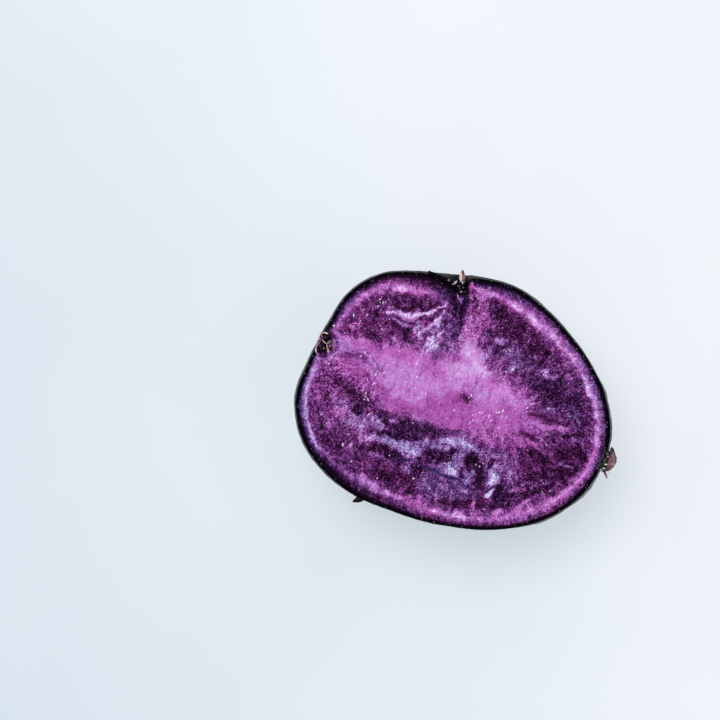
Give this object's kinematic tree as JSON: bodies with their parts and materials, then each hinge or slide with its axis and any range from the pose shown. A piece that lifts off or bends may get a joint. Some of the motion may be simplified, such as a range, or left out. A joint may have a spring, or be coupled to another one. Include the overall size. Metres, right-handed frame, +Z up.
{
  "type": "halved purple potato",
  "caption": "Lengthwise half of a purple-fleshed potato, cut face up, with dark skin, eyes, a bud at one end and a stolon scar at the other.",
  "frame": {"origin": "centre of the small flat spot on the belly that the half rests on", "axes": "+Z up, normal to the cut face; +X along the tuber from the stem end to the bud end; +Y towards the eye that the knife went through"},
  "size_m": [0.0921, 0.0745, 0.034],
  "materials": {
    "potato": "moist purple flesh on the cut face, dark netted skin all round"
  },
  "bodies": {
    "root": {"potato_half": "potato"}
  },
  "joints": []
}
